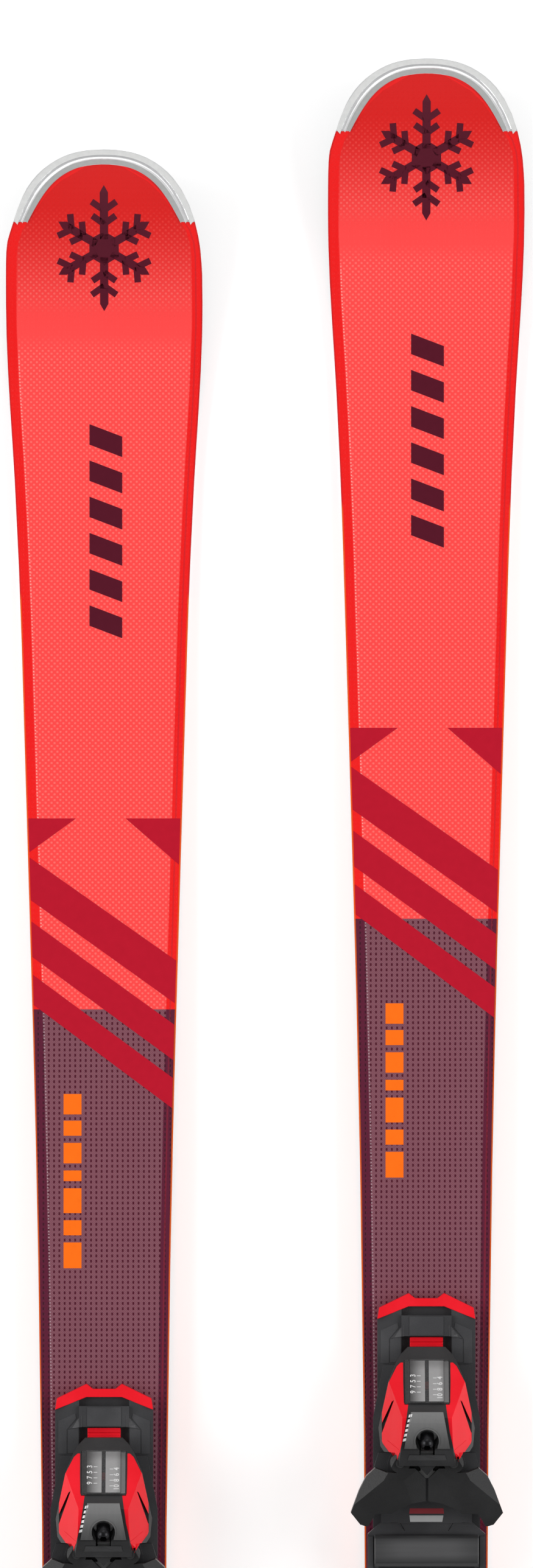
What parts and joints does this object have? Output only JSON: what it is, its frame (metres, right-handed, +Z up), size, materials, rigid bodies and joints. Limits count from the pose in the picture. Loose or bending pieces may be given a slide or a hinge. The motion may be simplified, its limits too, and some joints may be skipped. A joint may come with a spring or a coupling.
{
  "type": "pair of alpine skis with bindings",
  "caption": "Pair of sidecut alpine skis on their bases, each with a track-mounted step-in toe piece and heel piece with brake for a ski boot.",
  "frame": {"origin": "on the floor, midway between the two skis and midway along the pair", "axes": "+Y points to the tips, +Z up from the running bases, +X to the right ski"},
  "size_m": [0.2916, 1.801, 0.1095],
  "materials": {
    "base_black": "sintered polyethylene, ground",
    "guard_alloy": "ground steel",
    "core_wood": "laminated wood",
    "sidewall_orange": "satin",
    "top_red": "gloss with printed pattern",
    "track_black": "satin moulded",
    "housing_black": "satin moulded",
    "wing_black": "satin moulded",
    "trim_red": "gloss",
    "lever_red": "gloss",
    "indicator_red": "gloss",
    "cover_grey": "satin",
    "window_clear": "clear plastic",
    "screw_steel": "zinc plated",
    "spring_steel": "oiled",
    "brake_steel": "black plated, with plastic feet and pedal",
    "afd_grey": "low-friction plastic"
  },
  "bodies": {
    "left_ski": {"left_running_base": "base_black", "left_edges_and_guards": "guard_alloy", "left_core": "core_wood", "left_sidewalls": "sidewall_orange", "left_top_sheet": "top_red", "left_track": "track_black", "left_track_nose": "trim_red", "left_track_screws": "screw_steel"},
    "left_toe": {"left_toe_base": "track_black", "left_toe_housing": "housing_black", "left_toe_trims": "trim_red", "left_toe_cover": "cover_grey", "left_toe_window": "window_clear", "left_toe_pins": "screw_steel", "left_toe_spring": "spring_steel"},
    "left_latch": {"left_toe_latch": "trim_red"},
    "left_wing_left": {"left_toe_wing_left": "wing_black"},
    "left_wing_right": {"left_toe_wing_right": "wing_black"},
    "left_yoke": {"left_toe_yoke": "screw_steel"},
    "left_setting_screw": {"left_toe_screw": "screw_steel"},
    "left_indicator": {"left_toe_nut": "indicator_red"},
    "left_slide_plate": {"left_afd": "afd_grey"},
    "left_heel": {"left_heel_base": "track_black", "left_heel_axle": "screw_steel"},
    "left_heel_cup": {"left_heel_housing": "housing_black", "left_heel_spring": "spring_steel"},
    "left_lever": {"left_heel_lever": "lever_red"},
    "left_follower": {"left_heel_follower": "screw_steel"},
    "left_heel_setting_screw": {"left_heel_screw": "screw_steel"},
    "left_brake_arms": {"left_brake": "brake_steel"},
    "right_ski": {"right_running_base": "base_black", "right_edges_and_guards": "guard_alloy", "right_core": "core_wood", "right_sidewalls": "sidewall_orange", "right_top_sheet": "top_red", "right_track": "track_black", "right_track_nose": "trim_red", "right_track_screws": "screw_steel"},
    "right_toe": {"right_toe_base": "track_black", "right_toe_housing": "housing_black", "right_toe_trims": "trim_red", "right_toe_cover": "cover_grey", "right_toe_window": "window_clear", "right_toe_pins": "screw_steel", "right_toe_spring": "spring_steel"},
    "right_latch": {"right_toe_latch": "trim_red"},
    "right_wing_left": {"right_toe_wing_left": "wing_black"},
    "right_wing_right": {"right_toe_wing_right": "wing_black"},
    "right_yoke": {"right_toe_yoke": "screw_steel"},
    "right_setting_screw": {"right_toe_screw": "screw_steel"},
    "right_indicator": {"right_toe_nut": "indicator_red"},
    "right_slide_plate": {"right_afd": "afd_grey"},
    "right_heel": {"right_heel_base": "track_black", "right_heel_axle": "screw_steel"},
    "right_heel_cup": {"right_heel_housing": "housing_black", "right_heel_spring": "spring_steel"},
    "right_lever": {"right_heel_lever": "lever_red"},
    "right_follower": {"right_heel_follower": "screw_steel"},
    "right_heel_setting_screw": {"right_heel_screw": "screw_steel"},
    "right_brake_arms": {"right_brake": "brake_steel"}
  },
  "joints": [
    {"name": "left_toe_slide", "type": "slide", "parent": "left_ski", "child": "left_toe", "axis": [0, 1, 0], "range_m": [-0.012, 0.012]},
    {"name": "left_latch_slide", "type": "slide", "parent": "left_toe", "child": "left_latch", "axis": [0, 1, 0], "range_m": [0, 0.004], "stiffness_N_per_m": 200, "springref_m": -0.002},
    {"name": "left_wing_left_swing", "type": "hinge", "parent": "left_toe", "child": "left_wing_left", "pos_m": [-0.1055, 0.0625, 0.056], "axis": [0, 0, -1], "range_deg": [0, 32]},
    {"name": "left_wing_right_swing", "type": "hinge", "parent": "left_toe", "child": "left_wing_right", "pos_m": [-0.0755, 0.0625, 0.056], "axis": [0, 0, 1], "range_deg": [0, 32]},
    {"name": "left_yoke_slide", "type": "slide", "parent": "left_toe", "child": "left_yoke", "axis": [0, -0.7431, 0.6691], "range_m": [0, 0.0078], "stiffness_N_per_m": 1500, "springref_m": -0.002, "deforming": ["left_toe_spring"]},
    {"name": "left_toe_setting_turn", "type": "hinge", "parent": "left_yoke", "child": "left_setting_screw", "pos_m": [-0.0905, 0.0753, 0.074], "axis": [0, 0.7431, -0.6691], "range_deg": [-1080, 1080]},
    {"name": "left_indicator_slide", "type": "slide", "parent": "left_yoke", "child": "left_indicator", "axis": [0, 0.7431, -0.6691], "range_m": [-0.00375, 0.00375], "deforming": ["left_toe_spring"]},
    {"name": "left_slide_plate_shift", "type": "slide", "parent": "left_toe", "child": "left_slide_plate", "axis": [1, 0, 0], "range_m": [-0.005, 0.005], "stiffness_N_per_m": 400},
    {"name": "left_heel_slide", "type": "slide", "parent": "left_ski", "child": "left_heel", "axis": [0, 1, 0], "range_m": [-0.012, 0.012]},
    {"name": "left_heel_open", "type": "hinge", "parent": "left_heel", "child": "left_heel_cup", "pos_m": [-0.0905, -0.3095, 0.056], "axis": [1, 0, 0], "range_deg": [0, 35]},
    {"name": "left_lever_turn", "type": "hinge", "parent": "left_heel_cup", "child": "left_lever", "pos_m": [-0.0905, -0.3175, 0.0955], "axis": [1, 0, 0], "range_deg": [0, 12]},
    {"name": "left_follower_slide", "type": "slide", "parent": "left_heel_cup", "child": "left_follower", "axis": [0, -0.9848, 0.1736], "range_m": [0, 0.0036], "deforming": ["left_heel_spring"]},
    {"name": "left_heel_setting_turn", "type": "hinge", "parent": "left_heel_cup", "child": "left_heel_setting_screw", "pos_m": [-0.0905, -0.2885, 0.068], "axis": [0, -0.9848, 0.1736], "range_deg": [-1080, 1080]},
    {"name": "left_brake_swing", "type": "hinge", "parent": "left_heel", "child": "left_brake_arms", "pos_m": [-0.0905, -0.2355, 0.038], "axis": [1, 0, 0], "range_deg": [0, 70]},
    {"name": "right_ski_lift", "type": "slide", "parent": "left_ski", "child": "right_ski", "axis": [0, 0, 1], "range_m": [0, 0.3]},
    {"name": "right_toe_slide", "type": "slide", "parent": "right_ski", "child": "right_toe", "axis": [0, 1, 0], "range_m": [-0.012, 0.012]},
    {"name": "right_latch_slide", "type": "slide", "parent": "right_toe", "child": "right_latch", "axis": [0, 1, 0], "range_m": [0, 0.004], "stiffness_N_per_m": 200, "springref_m": -0.002},
    {"name": "right_wing_left_swing", "type": "hinge", "parent": "right_toe", "child": "right_wing_left", "pos_m": [0.0755, 0.1135, 0.056], "axis": [0, 0, -1], "range_deg": [0, 32]},
    {"name": "right_wing_right_swing", "type": "hinge", "parent": "right_toe", "child": "right_wing_right", "pos_m": [0.1055, 0.1135, 0.056], "axis": [0, 0, 1], "range_deg": [0, 32]},
    {"name": "right_yoke_slide", "type": "slide", "parent": "right_toe", "child": "right_yoke", "axis": [0, -0.7431, 0.6691], "range_m": [0, 0.0078], "stiffness_N_per_m": 1500, "springref_m": -0.002, "deforming": ["right_toe_spring"]},
    {"name": "right_toe_setting_turn", "type": "hinge", "parent": "right_yoke", "child": "right_setting_screw", "pos_m": [0.0905, 0.1263, 0.074], "axis": [0, 0.7431, -0.6691], "range_deg": [-1080, 1080]},
    {"name": "right_indicator_slide", "type": "slide", "parent": "right_yoke", "child": "right_indicator", "axis": [0, 0.7431, -0.6691], "range_m": [-0.00375, 0.00375], "deforming": ["right_toe_spring"]},
    {"name": "right_slide_plate_shift", "type": "slide", "parent": "right_toe", "child": "right_slide_plate", "axis": [1, 0, 0], "range_m": [-0.005, 0.005], "stiffness_N_per_m": 400},
    {"name": "right_heel_slide", "type": "slide", "parent": "right_ski", "child": "right_heel", "axis": [0, 1, 0], "range_m": [-0.012, 0.012]},
    {"name": "right_heel_open", "type": "hinge", "parent": "right_heel", "child": "right_heel_cup", "pos_m": [0.0905, -0.2585, 0.056], "axis": [1, 0, 0], "range_deg": [0, 35]},
    {"name": "right_lever_turn", "type": "hinge", "parent": "right_heel_cup", "child": "right_lever", "pos_m": [0.0905, -0.2665, 0.0955], "axis": [1, 0, 0], "range_deg": [0, 12]},
    {"name": "right_follower_slide", "type": "slide", "parent": "right_heel_cup", "child": "right_follower", "axis": [0, -0.9848, 0.1736], "range_m": [0, 0.0036], "deforming": ["right_heel_spring"]},
    {"name": "right_heel_setting_turn", "type": "hinge", "parent": "right_heel_cup", "child": "right_heel_setting_screw", "pos_m": [0.0905, -0.2375, 0.068], "axis": [0, -0.9848, 0.1736], "range_deg": [-1080, 1080]},
    {"name": "right_brake_swing", "type": "hinge", "parent": "right_heel", "child": "right_brake_arms", "pos_m": [0.0905, -0.1845, 0.038], "axis": [1, 0, 0], "range_deg": [0, 70]}
  ],
  "couplings": [
    {"joint": "left_wing_left_swing", "follows": "left_yoke_slide", "rad_per_m": 71.4},
    {"joint": "left_wing_right_swing", "follows": "left_yoke_slide", "rad_per_m": 71.4},
    {"joint": "left_toe_setting_turn", "follows": "left_indicator_slide", "rad_per_m": 5026},
    {"joint": "left_lever_turn", "follows": "left_heel_open", "ratio": 0.34},
    {"joint": "left_follower_slide", "follows": "left_heel_open", "m_per_rad": 0.0058},
    {"joint": "right_wing_left_swing", "follows": "right_yoke_slide", "rad_per_m": 71.4},
    {"joint": "right_wing_right_swing", "follows": "right_yoke_slide", "rad_per_m": 71.4},
    {"joint": "right_toe_setting_turn", "follows": "right_indicator_slide", "rad_per_m": 5026},
    {"joint": "right_lever_turn", "follows": "right_heel_open", "ratio": 0.34},
    {"joint": "right_follower_slide", "follows": "right_heel_open", "m_per_rad": 0.0058}
  ]
}
